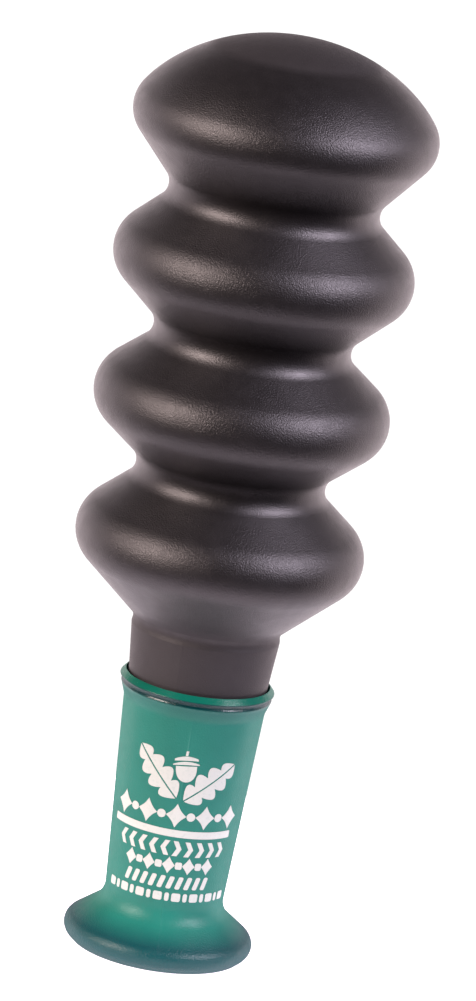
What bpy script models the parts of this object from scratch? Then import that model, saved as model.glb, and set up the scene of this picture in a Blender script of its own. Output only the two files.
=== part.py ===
"""Bellows game call: a pleated rubber bellows pushed onto a short barrel with a flared bell.

The call stands on its bell, with +Z up its axis and the origin at the middle of the bell's base.
The bellows is one soft moulding that flexes at its grooves, so it is made as rings that move and
webs that fold between them. A reed, its tone board and its wedge sit in the neck.
"""

import math

import bmesh
import bpy
from mathutils import Matrix, Vector

# Driving dimensions, in millimetres. A corner is (radius, height, rounding).
MM = 0.001
SEGMENTS = 32
ARC_STEP = math.radians(22.5)
GAP = 0.3
WELD = 1e-7
SHARP_EDGE = math.radians(40)

# Bellows: four folds at one pitch, three grooves and a dome.
TOP_Z = 149.2
CREST_Z = 135.4
PITCH = 22.6
CREST_R = (24.1, 23.8, 23.5, 23.0)
CREST_ROUND = (5.6, 6.3, 6.3, 6.3)
GROOVE_DROP = (12.2, 11.9, 11.5)
GROOVE_R = (16.7, 15.7, 15.1)
GROOVE_ROUND = 3.3
WAIST = (11.62, 54.3, 1.8)
WALL = 1.8
DOME_START = math.radians(35)
DOME_TOP_HANDLE = 12.3
DOME_SIDE_HANDLE = 5.2
DOME_STEPS = 7

# Where the moulding is parted into rings and webs, measured in height from each groove.
WEB_HALF = 4.35
CUT = 0.25
CONE_TOP_DROP = 5.4
CONE_BOTTOM_Z = 55.6

# Neck: the collar above the barrel, and the tapered plug inside its mouth.
COLLAR = (11.9, 52.9, 0.9)
COLLAR_FOOT = (11.2, 45.6)
SEAT_TOP = (11.15, 43.6)
NECK_END_Z = 24.0
NECK_BORE_R = 7.4
NECK_BORE_TOP_Z = 46.0
NECK_END_ROUND = 0.5

# Barrel: lip, tapered tube and bell.
RIM = (11.5, 45.3)
LIP = (12.42, 44.25)
LIP_GROOVE = (11.92, 43.55)
LIP_SHOULDER = (12.1, 43.2)
FLARE_Z = 41.0
FLARE_ROUND = 3.0
MOUTH = (11.45, 43.6)
TUBE_TOP = (11.26, 39.8)
TUBE_FOOT = (9.43, 7.6, 3.9)
TUBE_WALL = 1.2
BELL_EDGE = (16.38, 2.29, 2.05)
BASE_R = (12.9, 13.73)
BELL_THROAT_Z = 8.6
BELL_THROAT_ROUND = 5.0
BELL_INNER = (12.9, 1.1, 0.8)

# Reed assembly, held in the bore of the neck.
INSERT_TOP_Z = 41.0
INSERT_R = NECK_BORE_R - GAP
INSERT_BORE_R = 4.6
INSERT_FLANGE = (8.2, 1.2)
BOARD_Z = (24.6, 58.0)
BOARD_R = INSERT_BORE_R - GAP
BOARD_FACE_LEAN = 0.6
TROUGH_WIDTH = 3.6
TROUGH_DEPTH = 2.3
TROUGH_END_Z = 56.0
CUTTER_OVERSHOOT = 2.0
REED_WIDTH = 5.0
REED_THICK = 0.35
REED_Z = (36.5, 57.5)
REED_PIVOT_Z = 41.0
WEDGE_Z = (33.0, 40.7)

# Joint axes.
FLEX_Z = 56.0

BLACK_RUBBER = ("black_rubber", (0.05, 0.045, 0.048, 1.0), 0.45, 1.0)
GREEN_PLASTIC = ("green_plastic", (0.03, 0.42, 0.33, 1.0), 0.2, 0.6)
BLACK_PLASTIC = ("black_plastic", (0.03, 0.03, 0.03, 1.0), 0.35, 1.0)
CLEAR_FILM = ("clear_film", (0.85, 0.88, 0.86, 1.0), 0.15, 0.4)
CORK = ("cork", (0.52, 0.36, 0.2, 1.0), 0.8, 1.0)


def clear_scene():
    """Removes whatever the file opened with."""
    for found in list(bpy.data.objects):
        bpy.data.objects.remove(found)


def material(look):
    """A Principled material from (name, colour, roughness, opacity), made once."""
    name, colour, roughness, opacity = look
    made = bpy.data.materials.get(name)
    if made is None:
        made = bpy.data.materials.new(name)
        made.use_nodes = True
        shader = made.node_tree.nodes["Principled BSDF"]
        shader.inputs["Base Color"].default_value = colour
        shader.inputs["Roughness"].default_value = roughness
        shader.inputs["Metallic"].default_value = 0.0
        shader.inputs["Alpha"].default_value = opacity
        made.diffuse_color = colour
    return made


def arc(centre, radius, start, sweep):
    """Points on an arc and its directions of travel, both ends included."""
    steps = max(1, math.ceil(abs(sweep) / ARC_STEP - 1e-6))
    turn = math.copysign(1, sweep)
    samples = []
    for i in range(steps + 1):
        angle = start + sweep * i / steps
        spoke = Vector((math.cos(angle), math.sin(angle)))
        samples.append((centre + radius * spoke, turn * Vector((-spoke.y, spoke.x))))
    return samples


def rounded(corners):
    """Points and directions of a path through corners, each rounded by its own radius."""
    spots = [Vector(corner[:2]) for corner in corners]
    samples = [(spots[0], (spots[1] - spots[0]).normalized())]
    for before, spot, after, corner in zip(spots, spots[1:], spots[2:], corners[1:]):
        into = (spot - before).normalized()
        away = (after - spot).normalized()
        sweep = math.atan2(into.x * away.y - into.y * away.x, into.dot(away))
        radius = corner[2] if len(corner) > 2 else 0
        if radius == 0 or abs(sweep) < 1e-6:
            samples.append((spot, (into + away).normalized()))
            continue
        side = math.copysign(1, sweep)
        start = spot - into * radius * math.tan(abs(sweep) / 2)
        centre = start + side * radius * Vector((-into.y, into.x))
        spoke = start - centre
        samples += arc(centre, radius, math.atan2(spoke.y, spoke.x), sweep)
    samples.append((spots[-1], (spots[-1] - spots[-2]).normalized()))
    return samples


def groove_heights():
    """Height of each groove, from the top one down."""
    return [CREST_Z - i * PITCH - drop for i, drop in enumerate(GROOVE_DROP)]


def fold_corners():
    """Corners of the pleats whose rounded tips have the wanted crest and groove radii."""
    heights = [CREST_Z - i * PITCH for i in range(len(CREST_R))]
    crests = [[r, z, rounding] for r, z, rounding in zip(CREST_R, heights, CREST_ROUND)]
    grooves = [[r, z, GROOVE_ROUND] for r, z in zip(GROOVE_R, groove_heights())]
    corners = [corner for pair in zip(crests, grooves) for corner in pair] + [crests[-1]]
    tips = [corner[0] for corner in corners]
    line = [[tips[1], CREST_Z + PITCH / 2, 0]] + corners + [list(WAIST)]
    for _ in range(20):
        for i, tip in enumerate(tips, start=1):
            up = Vector(line[i - 1][:2]) - Vector(line[i][:2])
            down = Vector(line[i + 1][:2]) - Vector(line[i][:2])
            reach = line[i][2] * (1 / math.sin(up.angle(down) / 2) - 1)
            line[i][0] = tip + (reach if i % 2 else -reach)
    return line[1:-1]


def bellows_path():
    """Outer side of the bellows from the middle of the dome down to the foot of the neck."""
    pleats = fold_corners()
    centre = Vector((CREST_R[0] - CREST_ROUND[0], CREST_Z))
    spoke = Vector((math.cos(DOME_START), math.sin(DOME_START)))
    start = centre + CREST_ROUND[0] * spoke
    side = start + DOME_SIDE_HANDLE * Vector((-spoke.y, spoke.x))
    top = Vector((0, TOP_Z))
    shoulder = Vector((DOME_TOP_HANDLE, TOP_Z))
    samples = []
    for i in range(DOME_STEPS):
        t = i / DOME_STEPS
        near, far = 1 - t, t
        spot = near**3 * top + 3 * near**2 * far * shoulder
        spot += 3 * near * far**2 * side + far**3 * start
        way = 3 * near**2 * (shoulder - top) + 6 * near * far * (side - shoulder)
        way += 3 * far**2 * (start - side)
        samples.append((spot, way.normalized()))
    groove = Vector(pleats[1][:2])
    reach = groove - centre
    off = math.acos(CREST_ROUND[0] / reach.length)
    end = math.atan2(reach.y, reach.x) + off
    samples += arc(centre, CREST_ROUND[0], DOME_START, end - DOME_START)
    foot = [WAIST, COLLAR, COLLAR_FOOT]
    samples += rounded([samples[-1][0], *pleats[1:], *foot])[1:]
    return samples


def stretch(samples, high, low):
    """The part of a path between two heights, cut straight where it crosses them."""
    part = []
    for (spot, way), (after, way_after) in zip(samples, samples[1:]):
        for height in (high, low):
            if spot.y > height >= after.y:
                share = (spot.y - height) / (spot.y - after.y)
                part.append((spot.lerp(after, share), way.lerp(way_after, share).normalized()))
        if high > after.y > low:
            part.append((after, way_after))
    return part


def shell(samples):
    """Closed outline of a wall: down the outer side and back up the inner one."""
    outer = [spot for spot, _ in samples]
    inner = [spot + WALL * Vector((way.y, -way.x)) for spot, way in samples]
    return outer + inner[::-1]


def add_object(name, mesh_data, look, origin):
    """Links a mesh built in the row frame as an object whose origin is at the given point."""
    mesh_data.transform(Matrix.Translation(-origin))
    mesh_data.materials.append(material(look))
    made = bpy.data.objects.new(name, mesh_data)
    made.location = origin
    bpy.context.scene.collection.objects.link(made)
    return made


def finish_mesh(bm, name):
    """Welds, orients and shades a closed body."""
    bmesh.ops.remove_doubles(bm, verts=bm.verts, dist=WELD)
    bmesh.ops.recalc_face_normals(bm, faces=bm.faces)
    mesh_data = bpy.data.meshes.new(name)
    bm.to_mesh(mesh_data)
    bm.free()
    mesh_data.shade_smooth()
    mesh_data.set_sharp_from_angle(angle=SHARP_EDGE)
    return mesh_data


def turned(name, outline, look, origin=Vector()):
    """A body turned about the axis from an outline of (radius, height) points in millimetres."""
    bm = bmesh.new()
    verts = [bm.verts.new((spot.x * MM, 0, spot.y * MM)) for spot in outline]
    edges = [bm.edges.new((a, b)) for a, b in zip(verts, verts[1:])]
    if outline[0].x > 0:
        edges.append(bm.edges.new((verts[-1], verts[0])))
    bmesh.ops.spin(
        bm, geom=verts + edges, axis=(0, 0, 1), cent=(0, 0, 0), angle=2 * math.pi, steps=SEGMENTS
    )
    return add_object(name, finish_mesh(bm, name), look, origin)


def prism(name, outline, low, high, look, origin=Vector(), lean=0.0):
    """A straight bar along Z whose section is an outline of (x, y) points in millimetres.

    Points with y at or above zero move back by lean at the bar's high end.
    """
    bm = bmesh.new()
    base = [bm.verts.new((x * MM, y * MM, low * MM)) for x, y in outline]
    tips = []
    for x, y in outline:
        back = lean if y >= -1e-6 else 0
        tips.append(bm.verts.new((x * MM, (y - back) * MM, high * MM)))
    bm.faces.new(base[::-1])
    bm.faces.new(tips)
    for i, start in enumerate(base):
        j = (i + 1) % len(base)
        bm.faces.new((start, base[j], tips[j], tips[i]))
    return add_object(name, finish_mesh(bm, name), look, origin)


def on_axis(height):
    """A point on the call's axis, in metres, from a height in millimetres."""
    return Vector((0, 0, height * MM))


def tube_slope():
    """How much the tube's radius grows for each millimetre of height."""
    return (TUBE_TOP[0] - TUBE_FOOT[0]) / (TUBE_TOP[1] - TUBE_FOOT[1])


def make_barrel():
    """The green tube: a bevelled lip over a narrow groove, a tapering tube and a bell, open through."""
    bore_top = TUBE_TOP[0] - TUBE_WALL
    throat_r = bore_top - tube_slope() * (TUBE_TOP[1] - BELL_THROAT_Z)
    flare_r = TUBE_TOP[0] + tube_slope() * (FLARE_Z - TUBE_TOP[1])
    lip = [LIP, LIP_GROOVE, LIP_SHOULDER, (flare_r, FLARE_Z, FLARE_ROUND)]
    outer = [*lip, TUBE_FOOT, BELL_EDGE, (BASE_R[1], 0), (BASE_R[0], 0)]
    inner = [BELL_INNER, (throat_r, BELL_THROAT_Z, BELL_THROAT_ROUND), (bore_top, TUBE_TOP[1]), MOUTH]
    path = rounded([*outer, *inner, RIM])
    return turned("barrel", [spot for spot, _ in path], GREEN_PLASTIC)


def make_neck(path):
    """The collar, and the plug below it that fits the barrel's mouth with a small gap."""
    top = stretch(path, CONE_BOTTOM_Z - CUT, COLLAR_FOOT[1])
    plug_top = TUBE_TOP[0] - TUBE_WALL - GAP
    plug_end = plug_top - tube_slope() * (TUBE_TOP[1] - NECK_END_Z)
    plug = [
        COLLAR_FOOT,
        SEAT_TOP,
        (plug_top, TUBE_TOP[1]),
        (plug_end, NECK_END_Z, NECK_END_ROUND),
        (NECK_BORE_R, NECK_END_Z),
        (NECK_BORE_R, NECK_BORE_TOP_Z),
    ]
    spot, way = top[0]
    inner_top = spot + WALL * Vector((way.y, -way.x))
    outline = [point for point, _ in top] + [point for point, _ in rounded(plug)] + [inner_top]
    return turned("bellows_neck", outline, BLACK_RUBBER)


def make_folds(path):
    """The crown and the three fold rings that move, with the webs that fold between them."""
    grooves = groove_heights()
    names = ("upper", "middle", "lower")
    reach = WEB_HALF + CUT
    crown = [path[0], *stretch(path, TOP_Z, grooves[0] + reach)]
    turned("bellows_crown", shell(crown), BLACK_RUBBER, on_axis(CREST_Z))
    for i, (name, groove) in enumerate(zip(names, grooves)):
        web = stretch(path, groove + WEB_HALF, groove - WEB_HALF)
        turned(f"bellows_groove_{name}", shell(web), BLACK_RUBBER, on_axis(groove))
        crest = CREST_Z - (i + 1) * PITCH
        low = grooves[i + 1] + reach if i + 1 < len(grooves) else crest - CONE_TOP_DROP
        ring = stretch(path, groove - reach, low)
        height = crest if i + 1 < len(grooves) else FLEX_Z
        turned(f"bellows_fold_{name}", shell(ring), BLACK_RUBBER, on_axis(height))
    cone = stretch(path, crest - CONE_TOP_DROP - CUT, CONE_BOTTOM_Z)
    turned("bellows_cone", shell(cone), BLACK_RUBBER, on_axis(FLEX_Z))


def half_round(radius, face):
    """Section of a half-round bar with its flat side at y = face and its back towards -Y."""
    start = math.asin(face / radius)
    sweep = -(math.pi + 2 * start)
    samples = arc(Vector((0, 0)), radius, start, sweep)
    return [tuple(spot) for spot, _ in samples]


def make_reed_insert():
    """The sleeve in the neck's bore, with a flange under the end of the neck."""
    flange_r, flange_z = INSERT_FLANGE
    neck_foot = NECK_END_Z - GAP
    outline = [
        (INSERT_R, INSERT_TOP_Z),
        (INSERT_R, neck_foot),
        (flange_r, neck_foot),
        (flange_r, neck_foot - flange_z),
        (INSERT_BORE_R, neck_foot - flange_z),
        (INSERT_BORE_R, INSERT_TOP_Z),
    ]
    return turned("reed_insert", [Vector(point) for point in outline], BLACK_PLASTIC)


def make_tone_board():
    """A half-round bar with a trough down its face, closed near its tip and open at its foot."""
    board = prism(
        "tone_board",
        half_round(BOARD_R, 0.0),
        BOARD_Z[0],
        BOARD_Z[1],
        BLACK_PLASTIC,
        lean=BOARD_FACE_LEAN,
    )
    half = TROUGH_WIDTH / 2
    top, floor = CUTTER_OVERSHOOT, -TROUGH_DEPTH
    section = [(half, top), (-half, top), (-half, floor), (half, floor)]
    low = BOARD_Z[0] - CUTTER_OVERSHOOT
    cutter = prism("trough_cutter", section, low, TROUGH_END_Z, BLACK_PLASTIC)
    cutter.hide_render = True
    cutter.display_type = "WIRE"
    cut = board.modifiers.new("trough", "BOOLEAN")
    cut.operation = "DIFFERENCE"
    cut.solver = "EXACT"
    cut.object = cutter
    return board


def make_reed():
    """The thin tongue over the trough, hinged where the wedge lets go of it."""
    half = REED_WIDTH / 2
    back = GAP
    front = GAP + REED_THICK
    section = [(half, back), (half, front), (-half, front), (-half, back)]
    pivot = Vector((0, (back + front) / 2 * MM, REED_PIVOT_Z * MM))
    return prism("reed", section, *REED_Z, CLEAR_FILM, pivot)


def make_wedge():
    """The half-round block that clamps the root of the reed in the insert's bore."""
    face = 2 * GAP + REED_THICK
    section = [(x, -y) for x, y in half_round(BOARD_R, -face)]
    return prism("reed_wedge", section[::-1], *WEDGE_Z, CORK)


def main():
    clear_scene()
    path = bellows_path()
    make_barrel()
    make_neck(path)
    make_folds(path)
    make_reed_insert()
    make_tone_board()
    make_reed()
    make_wedge()
    bpy.context.view_layer.update()


main()
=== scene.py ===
"""Looks of the bellows game call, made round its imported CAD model.

The call stands on its bell at the origin, with +Z up its axis, and its print faces -Y. Lengths are
in millimetres unless a comment says otherwise, and become metres where a mesh or a node needs them.
"""

import math

import bmesh
import bpy
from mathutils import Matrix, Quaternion, Vector


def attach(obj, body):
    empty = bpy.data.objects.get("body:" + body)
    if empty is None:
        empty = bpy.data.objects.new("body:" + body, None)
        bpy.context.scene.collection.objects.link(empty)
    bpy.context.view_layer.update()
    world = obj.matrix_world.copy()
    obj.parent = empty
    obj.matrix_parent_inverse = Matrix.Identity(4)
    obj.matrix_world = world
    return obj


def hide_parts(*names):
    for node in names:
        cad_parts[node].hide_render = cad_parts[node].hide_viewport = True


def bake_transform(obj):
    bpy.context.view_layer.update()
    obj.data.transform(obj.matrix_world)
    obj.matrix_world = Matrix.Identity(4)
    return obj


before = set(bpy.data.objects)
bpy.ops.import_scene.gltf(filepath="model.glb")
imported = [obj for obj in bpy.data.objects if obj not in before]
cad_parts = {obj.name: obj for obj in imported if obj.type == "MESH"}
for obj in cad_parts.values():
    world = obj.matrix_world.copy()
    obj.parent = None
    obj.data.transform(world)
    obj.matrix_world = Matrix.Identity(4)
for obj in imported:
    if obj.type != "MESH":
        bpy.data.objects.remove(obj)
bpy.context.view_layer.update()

MM = 0.001

# Bellows: four folds at one pitch, three grooves and a dome. A corner is a radius, a height and,
# where it isn't sharp, a rounding.
TOP_Z = 149.2
CREST_Z = 135.4
PITCH = 22.6
CREST_R = (24.1, 23.8, 23.5, 23.0)
CREST_ROUND = (5.6, 6.3, 6.3, 6.3)
GROOVE_DROP = (12.2, 11.9, 11.5)
GROOVE_R = (16.7, 15.7, 15.1)
GROOVE_ROUND = 3.3
WAIST = (11.62, 54.3, 1.8)
FIT_ROUNDS = 20
WALL = 1.8
DOME_START = math.radians(35)
DOME_TOP_HANDLE = 12.3
DOME_SIDE_HANDLE = 5.2

# Neck: the collar above the barrel, and the tapered plug inside its mouth.
COLLAR = (11.9, 52.9, 0.9)
COLLAR_FOOT = (11.2, 45.6)
SEAT_TOP = (11.15, 43.6)
NECK_END_Z = 24.0
NECK_BORE_R = 7.4
NECK_BORE_TOP_Z = 46.0
PLUG_ROUND = 0.3
PLUG_TIP_ROUND = 0.5

# Barrel: lip, tapered tube and bell.
RIM = (11.5, 45.3, 0.08)
LIP = (12.42, 44.25, 0.2)
LIP_GROOVE = (11.92, 43.55, 0.2)
LIP_SHOULDER = (12.1, 43.2, 0.25)
FLARE_Z = 41.0
FLARE_ROUND = 3.0
MOUTH = (11.45, 43.6, 0.3)
TUBE_TOP = (11.26, 39.8)
TUBE_FOOT = (9.43, 7.6, 3.9)
TUBE_WALL = 1.2
BELL_EDGE = (16.38, 2.29, 2.05)
BASE_R = (12.9, 13.73)
BASE_ROUND = (0.2, 0.3)
BELL_THROAT_Z = 8.6
BELL_THROAT_ROUND = 5.0
BELL_INNER = (12.9, 1.1, 0.8)
BORE_ROUND = 0.3

# Reed insert, in the bore of the neck.
GAP = 0.3
INSERT_TOP_Z = 41.0
INSERT_BORE_R = 4.6
INSERT_FLANGE = (8.2, 1.2)
INSERT_NOTCH_ROUND = 0.1
INSERT_EDGE_ROUND = 0.15
INSERT_OUTER_ROUND = (0.3, 0.4)
INSERT_BORE_ROUND = (0.4, 0.3)

# How finely the round shapes are made.
COLUMNS = 128
ARC_STEP = math.radians(4)
DOME_STEPS = 24
SHARP_EDGE = math.radians(35)

# Parting lines: low ridges up the outer side, at an azimuth from the front and opposite it.
RIDGE_HALF_WIDTH = 0.12
RIDGE_FACING = 0.2
NECK_RIDGE = 0.015
BARREL_RIDGE = 0.03
NECK_SEAM_AZIMUTH = math.radians(-16)
SEAM_AZIMUTH = math.radians(1)

# Print: white ink on the front of the barrel, across from the middle and up from the base.
INK_THICK = 0.04
INK_LIFT = 0.012
INK_STEP = 0.5

# Emblem: each leaf has its length, width, lobes, turn in degrees and foot. The acorn has its width
# and height, then its turn and middle.
LEAVES = ((10.4, 2.5, 4, 44, -0.5, 27.9), (10.2, 2.5, 4, -51, 0.8, 27.6))
LEAF_VEIN = 0.12
ACORN = (4.0, 4.6)
ACORN_PLACE = (6, 0.4, 33.4)

# Rows under the emblem: the two ends and the count of each, then its heights and its shapes.
BORDER_ROW = (-10.7, 10.7, 9)
BORDER_Z = 25.0
BORDER_STAR = (1.65, 2.0, 0.3)
BORDER_DOT_R = 0.7
RULE = (-11.5, 10.3, 21.4, 22.6)
RULE_CORNER = 0.2
CHEVRON_ROW = (-9.5, 9.5, 10)
CHEVRON_Z = 19.5
CHEVRON = (1.45, 2.5, 0.8)
CHEVRON_BACK = 0.7
STAR_ROW = (-7.3, 7.3, 9)
STAR_Z = 16.65
STAR = (1.05, 1.4, 0.15)
PILL_HALF = (0.55, 0.6)
BAR_ROW = (-7.2, 7.2, 10)
BAR_SIDES = (-0.7, 0.1)
BAR_Z = (12.7, 14.8)
BAR_SLANT = 0.6
DASH_ROW = (-10.6, 11.6, 15)
DASH_HALVES = (0.72, 0.35)
DASH_Z = (10.6, 12.0)
PILL_CORNER = 0.3

# Looks: colours are linear. A mask fades between the two distances from the axis of a zone, or
# between the two heights of a name that ends in _Z. A relief is its grain size, its depth and,
# where it is even, its strength.
NOISE_MIDDLE = (0.3, 0.7)

RUBBER_DARK = (0.0030, 0.0024, 0.0028)
RUBBER_LIGHT = (0.0055, 0.0045, 0.0052)
# Painted light: the neck's rubber is painted lighter than the folds; its duller finish itself is
# the neck roughness.
RUBBER_NECK_LIT = (0.012, 0.0098, 0.011)
RUBBER_SPECK = (0.02, 0.016, 0.02)
RUBBER_SPECK_SHARE = 0.2
RUBBER_SPECK_RANGE = (0.45, 0.75)
RUBBER_TINT = (1.0, 0.92, 0.97, 1)
RUBBER_SPECULAR = 0.75
RUBBER_MOTTLE_SIZE = 6.0
RUBBER_SPECK_SIZE = 0.2
RUBBER_CLOUD_SIZE = 2.2
RUBBER_WAVES = (4.0, 0.05, 0.5)
RUBBER_GRAIN = (0.24, 0.085)
GROOVE_GRAIN_SHARE = 0.65
NECK_ZONE = (12.2, 14.0)
FOLD_ZONE = (16.5, 21.5)
FOLD_ROUGH = 0.44
NECK_ROUGH = 0.64
CLOUD_ROUGH = 0.03

GREEN_DARK = (0.009, 0.168, 0.130)
GREEN_LIGHT = (0.015, 0.220, 0.172)
GREEN_RIM = (0.004, 0.200, 0.120)
# Deeper green painted on the bell's skirt and under the lip's flare: partly the colour of the
# bell's thick plastic, and painted shade.
GREEN_THICK_AND_SHADE = (0.003, 0.055, 0.068)
# Painted shade: the near-black teal of the groove under the lip's flange.
GREEN_GROOVE_SHADE = (0.001, 0.036, 0.040)
# Painted highlight: the lighter green along the barrel's parting line.
GREEN_SEAM_HIGHLIGHT = (0.10, 0.36, 0.30)
GREEN_CLOUD_SIZE = 5.0
GREEN_ROUGH_SIZE = 1.2
GREEN_ROUGH = (0.40, 0.48)
GREEN_WAVES = (2.5, 0.03, 0.5)
GREEN_GRAIN = (0.28, 0.1)
TUBE_GRAIN_SHARE = 0.5
GREEN_SPECULAR = 0.4
GREEN_IOR = 1.44
GREEN_CLEAR = 0.15
BELL_ZONE = (11.0, 14.2)
BELL_TOP_Z = (10.0, 14.0)
# Share of the deeper green on the bell's skirt: partly its thick plastic, partly painted shade.
BELL_THICK_AND_SHADE_SHARE = 0.9
BELL_GLOSS = 0.06
# Painted shade: the flare under the lip is painted darker green against the floor light it
# reflects.
FLARE_SHADE_Z = (40.5, 42.5)
FLARE_SHADE_SHARE = 0.35
LIP_GLOSS_Z = (42.5, 43.1)
LIP_GLOSS = 0.20
# Painted shade in the groove under the lip: where it is painted.
GROOVE_SHADE_ZONE = (11.6, 11.8)
GROOVE_SHADE_LOW_Z = (43.0, 43.3)
GROOVE_SHADE_HIGH_Z = (44.2, 44.4)
RIM_COLOUR_Z = (44.1, 44.4)
# Painted highlight along the barrel's parting line, below the lip: where it is painted.
SEAM_HIGHLIGHT_ZONE = (0.04, 0.14)
SEAM_HIGHLIGHT_LOW_Z = (26.0, 34.0)
SEAM_HIGHLIGHT_HIGH_Z = (37.5, 40.0)
SEAM_HIGHLIGHT_SHARE = 0.3
EDGE_FACING = (0.45, 1.0)
EDGE_HAZE = 0.4

PLASTIC_DARK = (0.020, 0.020, 0.021)
PLASTIC_LIGHT = (0.034, 0.033, 0.034)
PLASTIC_ROUGH = (0.30, 0.42)
PLASTIC_TURNING = (0.25, 0.01, 0.8)
PLASTIC_CLOUD_SIZE = 2.0
PLASTIC_STRETCH = (0.15, 0.15, 1.0)

FILM_DARK = (0.78, 0.82, 0.79)
FILM_LIGHT = (0.90, 0.93, 0.91)
FILM_ROUGH = (0.12, 0.24)
FILM_DRAWN = (0.2, 0.004, 0.6)
FILM_STRETCH = (1.0, 1.0, 0.06)
FILM_CLEAR = 0.6
FILM_IOR = 1.55

CORK_DARK = (0.42, 0.27, 0.14)
CORK_LIGHT = (0.60, 0.42, 0.25)
CORK_PORE = (0.14, 0.07, 0.035)
CORK_GRAIN = (0.7, 0.05, 0.8)
CORK_GRAIN_RANGE = (0.1, 0.6)
CORK_PORE_SIZE = 0.35
CORK_PORE_RANGE = (0.58, 0.66)
CORK_ROUGH = (0.75, 0.9)

INK_WHITE = (0.56, 0.58, 0.55)
INK_THIN = (0.30, 0.43, 0.39)
INK_THIN_SHARE = 0.35
INK_THIN_SIZE = 0.5
INK_THIN_RANGE = (0.52, 0.72)
INK_ROUGH_SIZE = 0.4
INK_ROUGH = (0.42, 0.58)
INK_GRAIN = (0.15, 0.006, 0.7)

# Studio: angles in degrees, azimuths from the front towards +X, lamp power in watts.
CAMERA_TARGET = (0, 0, 72)
CAMERA_DISTANCE = 1080
CAMERA_ELEVATION = 14
CAMERA_ROLL = 9.09
CAMERA_LENS = 246.1
CAMERA_SENSOR = 36
CAMERA_SLIDE = (2.18, 2.28)
CAMERA_CLIP = 10
LAMP_TARGET = (0, 0, 95)
LAMP_DISTANCE = 900
LAMP_SIZE = 360
LAMPS = {
    "lamp_left": (-57, 20, 11.0, (1.0, 0.87, 0.79)),
    "lamp_right": (66, 35, 10.4, (0.94, 0.89, 1.0)),
}
ROOM_COLOUR = (1.0, 0.86, 0.89, 1)
ROOM_BEHIND = (-0.1, 0.6, 0.05, 2.4)
ROOM_ABOVE = (0.0, 0.45, 1.0, 0.08)
PAPER_STRENGTH = 1.1
FLOOR_R = 92
FLOOR_SIDES = 96
FLOOR_CLOUD_SIZE = 40.0
FLOOR_GREYS = ((0.70, 0.70, 0.70), (0.73, 0.73, 0.73))
FLOOR_ROUGH = 0.9
FLOOR_GLOW = (1.0, 0.87, 0.98, 1)
FLOOR_GLOW_STRENGTH = 1.18


# ---------------------------------------------------------------------------------------------
# Outlines
# ---------------------------------------------------------------------------------------------


def arc(centre, radius, start, sweep):
    """Points on an arc and its directions of travel, both ends included."""
    steps = max(1, math.ceil(abs(sweep) / ARC_STEP - 1e-6))
    turn = math.copysign(1, sweep)
    samples = []
    for i in range(steps + 1):
        angle = start + sweep * i / steps
        spoke = Vector((math.cos(angle), math.sin(angle)))
        samples.append((centre + radius * spoke, turn * Vector((-spoke.y, spoke.x))))
    return samples


def rounded(corners):
    """Points and directions of a path through corners, each rounded by its own radius."""
    spots = [Vector(corner[:2]) for corner in corners]
    samples = [(spots[0], (spots[1] - spots[0]).normalized())]
    for before, spot, after, corner in zip(spots, spots[1:], spots[2:], corners[1:]):
        into = (spot - before).normalized()
        away = (after - spot).normalized()
        sweep = math.atan2(into.x * away.y - into.y * away.x, into.dot(away))
        radius = corner[2] if len(corner) > 2 else 0
        if radius == 0 or abs(sweep) < 1e-6:
            samples.append((spot, (into + away).normalized()))
            continue
        side = math.copysign(1, sweep)
        start = spot - into * radius * math.tan(abs(sweep) / 2)
        centre = start + side * radius * Vector((-into.y, into.x))
        spoke = start - centre
        samples += arc(centre, radius, math.atan2(spoke.y, spoke.x), sweep)
    samples.append((spots[-1], (spots[-1] - spots[-2]).normalized()))
    return samples


def crest_height(i):
    """Height of the widest line of a fold, from the dome down."""
    return CREST_Z - i * PITCH


def fold_corners():
    """Corners of the pleats whose rounded tips have the wanted crest and groove radii."""
    crests = [[r, crest_height(i), CREST_ROUND[i]] for i, r in enumerate(CREST_R)]
    grooves = []
    for i, r in enumerate(GROOVE_R):
        grooves.append([r, crest_height(i) - GROOVE_DROP[i], GROOVE_ROUND])
    corners = [corner for pair in zip(crests, grooves) for corner in pair] + [crests[-1]]
    tips = [corner[0] for corner in corners]
    line = [[tips[1], CREST_Z + PITCH / 2, 0]] + corners + [list(WAIST)]
    for _ in range(FIT_ROUNDS):
        for i, tip in enumerate(tips, start=1):
            up = Vector(line[i - 1][:2]) - Vector(line[i][:2])
            down = Vector(line[i + 1][:2]) - Vector(line[i][:2])
            reach = line[i][2] * (1 / math.sin(up.angle(down) / 2) - 1)
            line[i][0] = tip + (reach if i % 2 else -reach)
    return line[1:-1]


def bellows_path():
    """Outer side of the bellows from the middle of the dome down to the foot of the neck."""
    pleats = fold_corners()
    centre = Vector((CREST_R[0] - CREST_ROUND[0], CREST_Z))
    spoke = Vector((math.cos(DOME_START), math.sin(DOME_START)))
    start = centre + CREST_ROUND[0] * spoke
    side = start + DOME_SIDE_HANDLE * Vector((-spoke.y, spoke.x))
    top = Vector((0, TOP_Z))
    shoulder = Vector((DOME_TOP_HANDLE, TOP_Z))
    samples = []
    for i in range(DOME_STEPS):
        t = i / DOME_STEPS
        near, far = 1 - t, t
        spot = near**3 * top + 3 * near**2 * far * shoulder
        spot += 3 * near * far**2 * side + far**3 * start
        way = 3 * near**2 * (shoulder - top) + 6 * near * far * (side - shoulder)
        way += 3 * far**2 * (start - side)
        samples.append((spot, way.normalized()))
    groove = Vector(pleats[1][:2])
    reach = groove - centre
    off = math.acos(CREST_ROUND[0] / reach.length)
    end = math.atan2(reach.y, reach.x) + off
    samples += arc(centre, CREST_ROUND[0], DOME_START, end - DOME_START)
    foot = [WAIST, COLLAR, (*COLLAR_FOOT, 0)]
    samples += rounded([samples[-1][0], *pleats[1:], *foot])[1:]
    return samples


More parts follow.
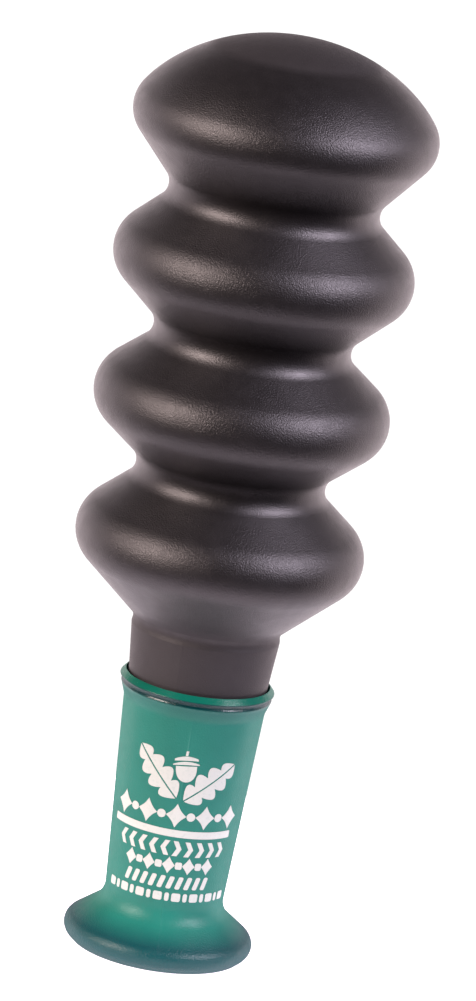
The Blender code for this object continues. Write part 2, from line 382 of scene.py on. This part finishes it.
def stretch(samples, high, low):
    """The part of a path between two heights, cut straight where it crosses them."""
    part = []
    for (spot, way), (after, way_after) in zip(samples, samples[1:]):
        for height in (high, low):
            if spot.y > height >= after.y:
                share = (spot.y - height) / (spot.y - after.y)
                part.append((spot.lerp(after, share), way.lerp(way_after, share).normalized()))
        if high > after.y > low:
            part.append((after, way_after))
    return part


def outward(way):
    """The side that a downward path faces, away from the axis."""
    return Vector((-way.y, way.x))


def shell(samples):
    """Closed outline of a wall: down the outer side and back up the inner one."""
    outer = [(spot, outward(way)) for spot, way in samples]
    inner = [(spot - WALL * facing, -facing) for spot, facing in outer]
    return outer + inner[::-1]


def solid_outline(corners):
    """Closed outline of a turned body from its corners, the first one repeated as the last."""
    return [(spot, outward(way)) for spot, way in rounded(corners)][:-1]


def tube_slope():
    """How much the barrel's radius grows for each millimetre of height."""
    return (TUBE_TOP[0] - TUBE_FOOT[0]) / (TUBE_TOP[1] - TUBE_FOOT[1])


def tube_radius(height):
    """Outer radius of the barrel's straight taper."""
    return TUBE_FOOT[0] + (height - TUBE_FOOT[1]) * tube_slope()


# ---------------------------------------------------------------------------------------------
# Meshes
# ---------------------------------------------------------------------------------------------


def add_piece(name, bm, look):
    """Links a finished mesh as a piece with its material."""
    bmesh.ops.remove_doubles(bm, verts=bm.verts, dist=1e-8)
    bmesh.ops.recalc_face_normals(bm, faces=bm.faces)
    mesh_data = bpy.data.meshes.new(name)
    bm.to_mesh(mesh_data)
    bm.free()
    mesh_data.materials.append(look)
    mesh_data.shade_smooth()
    mesh_data.set_sharp_from_angle(angle=SHARP_EDGE)
    piece = bpy.data.objects.new(name, mesh_data)
    bpy.context.scene.collection.objects.link(piece)
    return piece


def column_angles(azimuth):
    """Angles of the mesh columns, with extra ones beside the two parting lines."""
    side = RIDGE_HALF_WIDTH / CREST_R[0] * 2
    angles = [(azimuth + 2 * math.pi * i / COLUMNS, False) for i in range(COLUMNS)]
    for i in (0, COLUMNS // 2):
        angles[i] = (angles[i][0], True)
    for line in (azimuth, azimuth + math.pi):
        angles += [(line - side, False), (line + side, False)]
    return sorted(angles)


def turned(name, outline, look, azimuth=0.0, ridge=(0, 0, 0)):
    """A body turned about the axis from a closed outline of (point, facing).

    ridge is the low end, high end and thickness of the two parting lines on the outer side, and
    azimuth is where the first of them stands, from the front towards +X.
    """
    bm = bmesh.new()
    columns = column_angles(azimuth)
    rings = []
    for spot, facing in outline:
        if spot.x < 1e-6:
            rings.append([bm.verts.new((0, 0, spot.y * MM))])
            continue
        ring = []
        for angle, on_line in columns:
            place = spot
            if on_line and ridge[0] < spot.y < ridge[1] and facing.x > RIDGE_FACING:
                place = spot + facing * ridge[2]
            x = place.x * math.sin(angle)
            y = -place.x * math.cos(angle)
            ring.append(bm.verts.new((x * MM, y * MM, place.y * MM)))
        rings.append(ring)
    pairs = list(zip(rings, rings[1:]))
    if len(rings[0]) > 1 or len(rings[-1]) > 1:
        pairs.append((rings[-1], rings[0]))
    for upper, lower in pairs:
        count = max(len(upper), len(lower))
        for i in range(count):
            j = (i + 1) % count
            if len(upper) == 1:
                bm.faces.new((upper[0], lower[i], lower[j]))
            elif len(lower) == 1:
                bm.faces.new((upper[i], lower[0], upper[j]))
            else:
                bm.faces.new((upper[i], lower[i], lower[j], upper[j]))
    return add_piece(name, bm, look)


# ---------------------------------------------------------------------------------------------
# Materials
# ---------------------------------------------------------------------------------------------


class Look:
    """A material under construction: a Principled shader and short ways to wire nodes to it."""

    def __init__(self, name):
        self.material = bpy.data.materials.new(name)
        self.material.use_nodes = True
        self.tree = self.material.node_tree
        self.shader = self.tree.nodes["Principled BSDF"]
        self.place = self.node("ShaderNodeTexCoord").outputs["Object"]

    def node(self, kind, **settings):
        """A new shader node with some of its settings."""
        made = self.tree.nodes.new(kind)
        for name, value in settings.items():
            setattr(made, name, value)
        return made

    def feed(self, value, socket):
        """Links a socket, or sets a plain value on it."""
        if isinstance(value, bpy.types.NodeSocket):
            self.tree.links.new(value, socket)
        else:
            socket.default_value = value

    def noise(self, size, detail=2.0, roughness=0.5, place=None):
        """Noise whose blobs are about size millimetres across."""
        made = self.node("ShaderNodeTexNoise")
        made.inputs["Scale"].default_value = 1 / (size * MM)
        made.inputs["Detail"].default_value = detail
        made.inputs["Roughness"].default_value = roughness
        self.feed(place or self.place, made.inputs["Vector"])
        return made.outputs["Fac"]

    def cells(self, size):
        """Distance from the middles of random cells about size millimetres across."""
        made = self.node("ShaderNodeTexVoronoi")
        made.inputs["Scale"].default_value = 1 / (size * MM)
        self.feed(self.place, made.inputs["Vector"])
        return made.outputs["Distance"]

    def squeezed(self, scale):
        """Coordinates stretched so that a texture runs along an axis."""
        made = self.node("ShaderNodeMapping")
        self.feed(self.place, made.inputs["Vector"])
        made.inputs["Scale"].default_value = scale
        return made.outputs["Vector"]

    def span(self, value, low, high, to_low=0.0, to_high=1.0):
        """Value moved from one range to another, and held inside it."""
        made = self.node("ShaderNodeMapRange", clamp=True)
        self.feed(value, made.inputs["Value"])
        for name, number in (
            ("From Min", low),
            ("From Max", high),
            ("To Min", to_low),
            ("To Max", to_high),
        ):
            made.inputs[name].default_value = number
        return made.outputs["Result"]

    def zone(self, place, ends, to_low=0.0, to_high=1.0):
        """Span of a place in metres between two ends in millimetres."""
        return self.span(place, ends[0] * MM, ends[1] * MM, to_low, to_high)

    def wander(self, noise, low, high):
        """A number that wanders between two others with a noise."""
        return self.span(noise, *NOISE_MIDDLE, low, high)

    def math(self, operation, first, second=0.0):
        """One sum on two sockets or numbers."""
        made = self.node("ShaderNodeMath", operation=operation)
        self.feed(first, made.inputs[0])
        self.feed(second, made.inputs[1])
        return made.outputs["Value"]

    def mix(self, share, first, second):
        """A colour between two others."""
        made = self.node("ShaderNodeMix", data_type="RGBA")
        self.feed(share, made.inputs["Factor"])
        for name, colour in (("A", first), ("B", second)):
            socket = next(s for s in made.inputs if s.name == name and s.type == "RGBA")
            self.feed(colour if isinstance(colour, bpy.types.NodeSocket) else (*colour, 1), socket)
        return next(s for s in made.outputs if s.type == "RGBA")

    def axes(self):
        """The three coordinates, in metres."""
        apart = self.node("ShaderNodeSeparateXYZ")
        self.feed(self.place, apart.inputs["Vector"])
        return [apart.outputs[axis] for axis in "XYZ"]

    def position(self):
        """Distance from the call's axis and height along it, in metres."""
        x, y, z = self.axes()
        squares = self.math("ADD", self.math("MULTIPLY", x, x), self.math("MULTIPLY", y, y))
        return self.math("SQRT", squares), z

    def beside(self, azimuth):
        """Distance in metres from the upright plane through the axis at an azimuth."""
        x, y, _ = self.axes()
        across = self.math("MULTIPLY", x, math.cos(azimuth))
        along = self.math("MULTIPLY", y, math.sin(azimuth))
        return self.math("ABSOLUTE", self.math("ADD", across, along))

    def bump(self, height, depth, strength=1.0, under=None):
        """Relief of depth millimetres from a height that runs from 0 to 1."""
        made = self.node("ShaderNodeBump")
        made.inputs["Distance"].default_value = depth * MM
        self.feed(strength, made.inputs["Strength"])
        self.feed(height, made.inputs["Height"])
        if under is not None:
            self.feed(under, made.inputs["Normal"])
        return made.outputs["Normal"]

    def set(self, **values):
        """Sets shader inputs, named with underscores for spaces."""
        for name, value in values.items():
            self.feed(value, self.shader.inputs[name.replace("_", " ")])
        return self.material


def rubber_look():
    """Satin black moulded rubber: grained over the folds, duller on the neck. The neck's colour is
    painted lighter, painted light for the brightness the matte collar catches.
    """
    look = Look("bellows_rubber")
    radius, _ = look.position()
    neck = look.zone(radius, NECK_ZONE, 1.0, 0.0)
    body = look.mix(look.noise(RUBBER_MOTTLE_SIZE, detail=3), RUBBER_DARK, RUBBER_LIGHT)
    # Painted light: the neck gets the lighter rubber colour.
    body = look.mix(neck, body, RUBBER_NECK_LIT)
    specks = look.noise(RUBBER_SPECK_SIZE, detail=1)
    specks = look.span(specks, *RUBBER_SPECK_RANGE, 0.0, RUBBER_SPECK_SHARE)
    size, depth, strength = RUBBER_WAVES
    normal = look.bump(look.noise(size, detail=1), depth, strength)
    size, depth = RUBBER_GRAIN
    fine = look.zone(radius, FOLD_ZONE, GROOVE_GRAIN_SHARE, 1.0)
    normal = look.bump(look.noise(size, detail=2, roughness=0.6), depth, fine, under=normal)
    cloudy = look.wander(look.noise(RUBBER_CLOUD_SIZE, detail=4), -CLOUD_ROUGH, CLOUD_ROUGH)
    return look.set(
        Base_Color=look.mix(specks, body, RUBBER_SPECK),
        Roughness=look.math("ADD", cloudy, look.span(neck, 0.0, 1.0, FOLD_ROUGH, NECK_ROUGH)),
        Specular_IOR_Level=RUBBER_SPECULAR,
        Specular_Tint=RUBBER_TINT,
        Normal=normal,
    )


def barrel_look():
    """Hazy translucent green plastic. The bell's skirt is deeper green, partly its thick plastic
    and partly painted shade; the flare and the groove under the lip carry painted shade, and the
    parting line a painted highlight.
    """
    look = Look("barrel_plastic")
    radius, height = look.position()
    bell = look.zone(radius, BELL_ZONE)
    bell = look.math("MULTIPLY", bell, look.zone(height, BELL_TOP_Z, 1.0, 0.0))
    # Painted shade on the flare under the lip.
    flare_shade = look.zone(height, FLARE_SHADE_Z, 0.0, FLARE_SHADE_SHARE)
    # Painted shade: the groove under the lip's flange is painted near-black teal.
    groove_shade = look.math("MULTIPLY", look.zone(height, GROOVE_SHADE_LOW_Z), look.zone(radius, GROOVE_SHADE_ZONE))
    groove_shade = look.math("MULTIPLY", groove_shade, look.zone(height, GROOVE_SHADE_HIGH_Z, 1.0, 0.0))
    # Painted highlight: a lighter line painted along the parting line's ridge.
    seam_highlight = look.zone(look.beside(SEAM_AZIMUTH), SEAM_HIGHLIGHT_ZONE, 1.0, 0.0)
    seam_highlight = look.math("MULTIPLY", seam_highlight, look.zone(height, SEAM_HIGHLIGHT_LOW_Z, 0.0, SEAM_HIGHLIGHT_SHARE))
    seam_highlight = look.math("MULTIPLY", seam_highlight, look.zone(height, SEAM_HIGHLIGHT_HIGH_Z, 1.0, 0.0))

    colour = look.mix(look.noise(GREEN_CLOUD_SIZE, detail=3), GREEN_DARK, GREEN_LIGHT)
    colour = look.mix(look.zone(height, RIM_COLOUR_Z), colour, GREEN_RIM)
    # Painted shade over the bell's skirt and the flare, partly the bell's thick plastic.
    thick_and_shade = look.math("MAXIMUM", look.math("MULTIPLY", bell, BELL_THICK_AND_SHADE_SHARE), flare_shade)
    colour = look.mix(thick_and_shade, colour, GREEN_THICK_AND_SHADE)
    colour = look.mix(groove_shade, colour, GREEN_GROOVE_SHADE)
    colour = look.mix(seam_highlight, colour, GREEN_SEAM_HIGHLIGHT)

    rough = look.wander(look.noise(GREEN_ROUGH_SIZE, detail=3), *GREEN_ROUGH)
    gloss = look.math("MULTIPLY", bell, BELL_GLOSS)
    gloss = look.math("MAXIMUM", look.zone(height, LIP_GLOSS_Z, 0.0, LIP_GLOSS), gloss)
    rough = look.math("SUBTRACT", rough, gloss)
    facing = look.node("ShaderNodeLayerWeight").outputs["Facing"]
    rough = look.math("ADD", rough, look.span(facing, *EDGE_FACING, 0.0, EDGE_HAZE))

    size, depth, strength = GREEN_WAVES
    normal = look.bump(look.noise(size, detail=1), depth, strength)
    size, depth = GREEN_GRAIN
    fine = look.span(bell, 0.0, 1.0, TUBE_GRAIN_SHARE, 1.0)
    normal = look.bump(look.noise(size, detail=2), depth, fine, under=normal)
    return look.set(
        Base_Color=colour,
        Roughness=rough,
        Transmission_Weight=GREEN_CLEAR,
        IOR=GREEN_IOR,
        Specular_IOR_Level=GREEN_SPECULAR,
        Normal=normal,
    )


def insert_look():
    """Satin black rigid plastic with faint turning marks."""
    look = Look("insert_plastic")
    size, depth, strength = PLASTIC_TURNING
    rings = look.noise(size, detail=2, place=look.squeezed(PLASTIC_STRETCH))
    return look.set(
        Base_Color=look.mix(look.noise(PLASTIC_CLOUD_SIZE, detail=3), PLASTIC_DARK, PLASTIC_LIGHT),
        Roughness=look.wander(rings, *PLASTIC_ROUGH),
        Normal=look.bump(rings, depth, strength),
    )


def film_look():
    """Clear reed film, lightly drawn along its length."""
    look = Look("reed_film")
    size, depth, strength = FILM_DRAWN
    drawn = look.noise(size, detail=2, place=look.squeezed(FILM_STRETCH))
    return look.set(
        Base_Color=look.mix(drawn, FILM_DARK, FILM_LIGHT),
        Roughness=look.wander(drawn, *FILM_ROUGH),
        Transmission_Weight=FILM_CLEAR,
        IOR=FILM_IOR,
        Normal=look.bump(drawn, depth, strength),
    )


def cork_look():
    """Fine-grained cork with dark pores."""
    look = Look("wedge_cork")
    size, depth, strength = CORK_GRAIN
    grain = look.cells(size)
    pores = look.span(look.noise(CORK_PORE_SIZE, detail=3), *CORK_PORE_RANGE)
    body = look.mix(look.span(grain, *CORK_GRAIN_RANGE), CORK_DARK, CORK_LIGHT)
    return look.set(
        Base_Color=look.mix(pores, body, CORK_PORE),
        Roughness=look.span(grain, 0.0, 0.6, *CORK_ROUGH),
        Normal=look.bump(look.math("SUBTRACT", grain, pores), depth, strength),
    )


def ink_look():
    """White pad-print ink, a little thin in places."""
    look = Look("print_ink")
    thin = look.noise(INK_THIN_SIZE, detail=4, roughness=0.7)
    thin = look.span(thin, *INK_THIN_RANGE)
    thin = look.math("MULTIPLY", thin, INK_THIN_SHARE)
    size, depth, strength = INK_GRAIN
    return look.set(
        Base_Color=look.mix(thin, INK_WHITE, INK_THIN),
        Roughness=look.wander(look.noise(INK_ROUGH_SIZE, detail=2), *INK_ROUGH),
        Normal=look.bump(look.noise(size, detail=2), depth, strength),
    )


# ---------------------------------------------------------------------------------------------
# Bellows
# ---------------------------------------------------------------------------------------------


def make_bellows(path, look):
    """The dome, three pleats and the foot, which meet where they don't flex: at the crests."""
    crests = [crest_height(i) for i in range(len(CREST_R))]

    dome = turned("bellows_dome", shell([path[0], *stretch(path, TOP_Z, crests[0])]), look)
    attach(dome, "crown")
    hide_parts("bellows_crown")

    folds = (("upper", "crown"), ("middle", "fold_upper"), ("lower", "fold_middle"))
    for i, (name, above) in enumerate(folds):
        skin = stretch(path, crests[i], crests[i + 1])
        pleat = turned(f"bellows_pleat_{name}", shell(skin), look)
        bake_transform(pleat)
        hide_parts(f"bellows_fold_{name}", f"bellows_groove_{name}")

    cone = turned("bellows_foot", shell(stretch(path, crests[-1], WAIST[1])), look)
    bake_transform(cone)
    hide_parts("bellows_cone")


def make_neck(path, look):
    """The collar, and the plug below it that is pushed into the barrel's mouth."""
    collar = stretch(path, WAIST[1], COLLAR_FOOT[1])
    plug_top = TUBE_TOP[0] - TUBE_WALL - GAP
    plug_end = plug_top - tube_slope() * (TUBE_TOP[1] - NECK_END_Z)
    spot, way = collar[0]
    inner_top = spot - WALL * outward(way)
    plug = rounded(
        [
            COLLAR_FOOT,
            SEAT_TOP,
            (plug_top, TUBE_TOP[1], PLUG_ROUND),
            (plug_end, NECK_END_Z, PLUG_TIP_ROUND),
            (NECK_BORE_R, NECK_END_Z, PLUG_ROUND),
            (NECK_BORE_R, NECK_BORE_TOP_Z),
            tuple(inner_top),
        ]
    )
    outline = [(point, outward(along)) for point, along in collar + plug[1:]]
    ridge = (COLLAR_FOOT[1] - 1, COLLAR[1] + 0.5, NECK_RIDGE)
    neck = turned("bellows_collar", outline, look, NECK_SEAM_AZIMUTH, ridge)
    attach(neck, "neck")
    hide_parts("bellows_neck")


# ---------------------------------------------------------------------------------------------
# Barrel and print
# ---------------------------------------------------------------------------------------------


def make_barrel(look):
    """The green tube: a bevelled lip over a groove, a tapering tube and a bell, open through."""
    bore_top = TUBE_TOP[0] - TUBE_WALL
    throat_r = bore_top - tube_slope() * (TUBE_TOP[1] - BELL_THROAT_Z)
    start = ((LIP[0] + RIM[0]) / 2, (LIP[1] + RIM[1]) / 2)
    corners = [
        start,
        LIP,
        LIP_GROOVE,
        LIP_SHOULDER,
        (tube_radius(FLARE_Z), FLARE_Z, FLARE_ROUND),
        TUBE_FOOT,
        BELL_EDGE,
        (BASE_R[1], 0, BASE_ROUND[1]),
        (BASE_R[0], 0, BASE_ROUND[0]),
        BELL_INNER,
        (throat_r, BELL_THROAT_Z, BELL_THROAT_ROUND),
        (bore_top, TUBE_TOP[1], BORE_ROUND),
        MOUTH,
        RIM,
        start,
    ]
    ridge = (BELL_EDGE[1], TUBE_TOP[1] + 1, BARREL_RIDGE)
    outline = solid_outline(corners)
    barrel = turned("barrel_tube", outline, look, SEAM_AZIMUTH, ridge)
    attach(barrel, "barrel")
    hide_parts("barrel")


def on_tube(across, height, lift):
    """Point on the barrel's front, in metres: across is measured round the tube from the middle."""
    radius = tube_radius(height)
    angle = across / radius
    reach = (radius + lift) * MM
    return Vector((reach * math.sin(angle), -reach * math.cos(angle), height * MM))


def printed(name, shapes, look):
    """One piece of ink on the barrel from flat outlines of (across, height) points."""
    whole = bmesh.new()
    for shape in shapes:
        bm = bmesh.new()
        bm.faces.new([bm.verts.new((x, 0, z)) for x, z in shape])
        low = min(x for x, z in shape)
        high = max(x for x, z in shape)
        for i in range(math.ceil(low / INK_STEP), math.floor(high / INK_STEP) + 1):
            parts = [*bm.verts, *bm.edges, *bm.faces]
            plane = (i * INK_STEP, 0, 0)
            bmesh.ops.bisect_plane(bm, geom=parts, plane_co=plane, plane_no=(1, 0, 0), dist=1e-5)
        bmesh.ops.dissolve_degenerate(bm, dist=1e-3, edges=bm.edges)
        bmesh.ops.triangulate(bm, faces=bm.faces, ngon_method="EAR_CLIP")
        face_sets = [[v.co.copy() for v in face.verts] for face in bm.faces]
        rims = [[v.co.copy() for v in edge.verts] for edge in bm.edges if edge.is_boundary]
        bm.free()
        outer, inner = INK_LIFT + INK_THICK, INK_LIFT
        for corners in face_sets:
            whole.faces.new([whole.verts.new(on_tube(c.x, c.z, outer)) for c in corners])
            whole.faces.new([whole.verts.new(on_tube(c.x, c.z, inner)) for c in corners[::-1]])
        for a, b in rims:
            sides = [(a, outer), (b, outer), (b, inner), (a, inner)]
            whole.faces.new([whole.verts.new(on_tube(c.x, c.z, lift)) for c, lift in sides])
    piece = add_piece(name, whole, look)
    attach(piece, "barrel")


def moved(shape, turn, across, height):
    """An outline turned about its own origin by turn degrees, and put in its place."""
    cos, sin = math.cos(math.radians(turn)), math.sin(math.radians(turn))
    return [(across + x * cos - z * sin, height + x * sin + z * cos) for x, z in shape]


def block(left, right, low, high, slant=0.0, corner=0.25):
    """A rounded bar, its top pushed sideways by slant."""
    middle = ((left + right) / 2, low)
    corners = [
        middle,
        (right, low, corner),
        (right + slant, high, corner),
        (left + slant, high, corner),
        (left, low, corner),
        middle,
    ]
    return [tuple(spot) for spot, _ in rounded(corners)][:-1]


def half_leaf(length, width, lobes, side):
    """One half of an upright oak leaf that grows from its foot at the origin."""
    steps = 10 * lobes
    edge = []
    for i in range(1, steps):
        t = i / steps
        swell = math.sin(math.pi * t**0.8) ** 0.5
        lobe = 0.45 + 0.55 * abs(math.sin(math.pi * lobes * t)) ** 0.8
        reach = max(LEAF_VEIN + 0.05, width * swell * lobe)
        lift = 0.25 * (reach - LEAF_VEIN) * (1 - t)
        edge.append((side * reach, length * t + lift))
    return [(side * LEAF_VEIN, 0.0), *edge, (side * LEAF_VEIN, length)]


def leaf(length, width, lobes):
    """A lobed leaf in two halves with its mid vein left bare between them."""
    return [half_leaf(length, width, lobes, side) for side in (-1, 1)]


def acorn(width, height):
    """A nut with its point down, and a cup over it in two bands with a stalk.

    Its proportions are shares of the width and the height.
    """
    nut = []
    for i in range(25):
        angle = math.pi * i / 24
        drop = math.sin(angle) ** 0.75
        nut.append((0.42 * width * math.cos(angle), -0.58 * height * drop))
    shapes = [nut]
    across = [-1 + i / 6 for i in range(13)]
    for low, high, reach in ((0.05, 0.17, 0.52), (0.21, 0.36, 0.47)):
        top = [(t * width * reach, height * (high - 0.10 * t * t)) for t in across]
        foot = [(t * width * reach * 1.02, height * (low - 0.02 * t * t)) for t in across[::-1]]
        shapes.append(top + foot)
    shapes.append(block(-0.05 * width, 0.05 * width, 0.38 * height, 0.55 * height, 0.15, 0.04))
    return shapes


def make_emblem(look):
    """Two oak leaves spread over an acorn."""
    shapes = []
    for length, width, lobes, turn, across, height in LEAVES:
        shapes += [moved(half, turn, across, height) for half in leaf(length, width, lobes)]
    shapes += [moved(part, *ACORN_PLACE) for part in acorn(*ACORN)]
    printed("print_emblem", shapes, look)


def lozenge(width, height, pinch):
    """A four-pointed star with curved sides."""
    points = [(width, 0), (0, height), (-width, 0), (0, -height)]
    steps = 6
    outline = []
    for (x0, z0), (x1, z1) in zip(points, points[1:] + points[:1]):
        for i in range(steps):
            t = i / steps
            mid = 4 * t * (1 - t) * pinch / 2
            outline.append(((x0 + (x1 - x0) * t) * (1 - mid), (z0 + (z1 - z0) * t) * (1 - mid)))
    return outline


def disc(radius, across, height):
    """A round dot."""
    steps = 20
    turns = [2 * math.pi * i / steps for i in range(steps)]
    return [(across + radius * math.cos(a), height + radius * math.sin(a)) for a in turns]


def make_border(look):
    """A row of bold stars and dots, with a rule under it."""
    shapes = []
    for i, across in enumerate(spread(*BORDER_ROW)):
        if i % 2:
            shapes.append(disc(BORDER_DOT_R, across, BORDER_Z))
        else:
            shapes.append(moved(lozenge(*BORDER_STAR), 0, across, BORDER_Z))
    printed("print_border", shapes, look)
    printed("print_rule", [block(*RULE, 0, RULE_CORNER)], look)


def chevron(width, height, thick):
    """A bent bar that points towards +X, from its own middle."""
    half = height / 2
    return [(0, -half), (thick, -half), (width, 0), (thick, half), (0, half), (width - thick, 0)]


def spread(left, right, count):
    """Middles of equal cells between two ends."""
    return [left + (right - left) * (i + 0.5) / count for i in range(count)]


def make_rows(look):
    """Four rows of plain ornament below the rule: chevrons, stars, slanted bars and dashes."""
    chevrons = []
    for across in spread(*CHEVRON_ROW):
        side = math.copysign(1, across)
        shape = [(side * x, z) for x, z in chevron(*CHEVRON)]
        chevrons.append(moved(shape, 0, across - side * CHEVRON_BACK, CHEVRON_Z))
    printed("print_chevrons", chevrons, look)

    stars = []
    half, tall = PILL_HALF
    for i, across in enumerate(spread(*STAR_ROW)):
        if i % 2:
            sides = (across - half, across + half)
            stars.append(block(*sides, STAR_Z - tall, STAR_Z + tall, 0, PILL_CORNER))
        else:
            stars.append(moved(lozenge(*STAR), 0, across, STAR_Z))
    printed("print_stars", stars, look)

    left, right = BAR_SIDES
    bars = [block(x + left, x + right, *BAR_Z, BAR_SLANT) for x in spread(*BAR_ROW)]
    printed("print_bars", bars, look)

    dashes = []
    for i, across in enumerate(spread(*DASH_ROW)):
        half = DASH_HALVES[i % 2]
        dashes.append(block(across - half, across + half, *DASH_Z, 0, PILL_CORNER))
    printed("print_dashes", dashes, look)


# ---------------------------------------------------------------------------------------------
# Reed parts
# ---------------------------------------------------------------------------------------------


def make_insert(look):
    """The sleeve in the neck's bore, with a flange under the end of the neck."""
    radius = NECK_BORE_R - GAP
    flange_r, flange_thick = INSERT_FLANGE
    neck_foot = NECK_END_Z - GAP
    foot = neck_foot - flange_thick
    start = (radius, (INSERT_TOP_Z + neck_foot) / 2)
    corners = [
        start,
        (radius, neck_foot, INSERT_NOTCH_ROUND),
        (flange_r, neck_foot, INSERT_EDGE_ROUND),
        (flange_r, foot, INSERT_OUTER_ROUND[0]),
        (INSERT_BORE_R, foot, INSERT_BORE_ROUND[0]),
        (INSERT_BORE_R, INSERT_TOP_Z, INSERT_BORE_ROUND[1]),
        (radius, INSERT_TOP_Z, INSERT_OUTER_ROUND[1]),
        start,
    ]
    sleeve = turned("insert_sleeve", solid_outline(corners), look)
    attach(sleeve, "neck")
    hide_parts("reed_insert")


def dress_reed_parts(plastic):
    """New materials for the reed parts, whose CAD shapes are already right."""
    looks = {"tone_board": plastic, "reed": film_look(), "reed_wedge": cork_look()}
    for name, look in looks.items():
        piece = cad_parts[name]
        piece.data.materials.clear()
        piece.data.materials.append(look)


# ---------------------------------------------------------------------------------------------
# Studio
# ---------------------------------------------------------------------------------------------


def aim(thing, place, target, roll=0.0):
    """Puts a camera or light at a place, looking at a target, both in millimetres."""
    back = (Vector(place) - Vector(target)).normalized()
    thing.rotation_mode = "QUATERNION"
    turn = Quaternion((0, 0, 1), roll)
    thing.rotation_quaternion = (-back).to_track_quat("-Z", "Y") @ turn
    thing.location = Vector(place) * MM


def round_about(centre, azimuth, elevation, distance):
    """A point at a distance from a centre, its azimuth measured from the front towards +X."""
    az, el = math.radians(azimuth), math.radians(elevation)
    way = Vector((math.sin(az) * math.cos(el), -math.cos(az) * math.cos(el), math.sin(el)))
    return Vector(centre) + distance * way


def make_camera():
    """The camera in front of the call, slightly above it and tilted, so that the call leans."""
    data = bpy.data.cameras.new("camera")
    data.lens = CAMERA_LENS
    data.sensor_width = CAMERA_SENSOR
    data.clip_start = CAMERA_CLIP * MM
    camera = bpy.data.objects.new("camera", data)
    bpy.context.scene.collection.objects.link(camera)
    place = round_about(CAMERA_TARGET, 0, CAMERA_ELEVATION, CAMERA_DISTANCE)
    aim(camera, place, CAMERA_TARGET, math.radians(CAMERA_ROLL))
    right, up, _ = camera.rotation_quaternion.to_matrix().col
    camera.location += (right * CAMERA_SLIDE[0] + up * CAMERA_SLIDE[1]) * MM
    bpy.context.scene.camera = camera


def make_lights():
    """Two soft lamps in front, warm on the left and cool on the right."""
    for name, (azimuth, elevation, power, colour) in LAMPS.items():
        data = bpy.data.lights.new(name, "AREA")
        data.shape = "RECTANGLE"
        data.size = data.size_y = LAMP_SIZE * MM
        data.energy = power
        data.color = colour
        lamp = bpy.data.objects.new(name, data)
        bpy.context.scene.collection.objects.link(lamp)
        aim(lamp, round_about(LAMP_TARGET, azimuth, elevation, LAMP_DISTANCE), LAMP_TARGET)


def faded(tree, value, ends):
    """A world value eased from one range to another: two ends from, two ends to."""
    made = tree.nodes.new("ShaderNodeMapRange")
    made.interpolation_type = "SMOOTHSTEP"
    tree.links.new(value, made.inputs["Value"])
    for name, number in zip(("From Min", "From Max", "To Min", "To Max"), ends):
        made.inputs[name].default_value = number
    return made.outputs["Result"]


def make_world():
    """A white room behind the call that darkens above it and in front of it."""
    world = bpy.data.worlds.new("studio")
    bpy.context.scene.world = world
    world.use_nodes = True
    tree = world.node_tree
    tree.nodes.clear()
    coords = tree.nodes.new("ShaderNodeTexCoord")
    apart = tree.nodes.new("ShaderNodeSeparateXYZ")
    tree.links.new(coords.outputs["Generated"], apart.inputs["Vector"])
    both = tree.nodes.new("ShaderNodeMath")
    both.operation = "MULTIPLY"
    tree.links.new(faded(tree, apart.outputs["Y"], ROOM_BEHIND), both.inputs[0])
    tree.links.new(faded(tree, apart.outputs["Z"], ROOM_ABOVE), both.inputs[1])

    room = tree.nodes.new("ShaderNodeBackground")
    room.inputs["Color"].default_value = ROOM_COLOUR
    tree.links.new(both.outputs["Value"], room.inputs["Strength"])
    paper = tree.nodes.new("ShaderNodeBackground")
    paper.inputs["Color"].default_value = (1, 1, 1, 1)
    paper.inputs["Strength"].default_value = PAPER_STRENGTH
    path = tree.nodes.new("ShaderNodeLightPath")
    choose = tree.nodes.new("ShaderNodeMixShader")
    tree.links.new(path.outputs["Is Camera Ray"], choose.inputs["Fac"])
    tree.links.new(room.outputs["Background"], choose.inputs[1])
    tree.links.new(paper.outputs["Background"], choose.inputs[2])
    output = tree.nodes.new("ShaderNodeOutputWorld")
    tree.links.new(choose.outputs["Shader"], output.inputs["Surface"])


def make_floor():
    """A pale disc that glows like a lit studio table, so that it meets the white room."""
    bm = bmesh.new()
    bmesh.ops.create_circle(bm, cap_ends=True, segments=FLOOR_SIDES, radius=FLOOR_R * MM)
    mesh_data = bpy.data.meshes.new("floor")
    bm.to_mesh(mesh_data)
    bm.free()
    look = Look("floor_white")
    look.set(
        Base_Color=look.mix(look.noise(FLOOR_CLOUD_SIZE, detail=2), *FLOOR_GREYS),
        Roughness=FLOOR_ROUGH,
        Emission_Color=FLOOR_GLOW,
        Emission_Strength=FLOOR_GLOW_STRENGTH,
    )
    mesh_data.materials.append(look.material)
    floor = bpy.data.objects.new("floor", mesh_data)
    bpy.context.scene.collection.objects.link(floor)


def main():
    """Builds the whole scene."""
    rubber, green, ink, plastic = rubber_look(), barrel_look(), ink_look(), insert_look()
    path = bellows_path()
    make_bellows(path, rubber)
    make_neck(path, rubber)
    make_barrel(green)
    make_emblem(ink)
    make_border(ink)
    make_rows(ink)
    make_insert(plastic)
    dress_reed_parts(plastic)
    make_floor()
    make_world()
    make_lights()
    make_camera()
    bpy.context.scene.view_settings.view_transform = "Standard"


main()
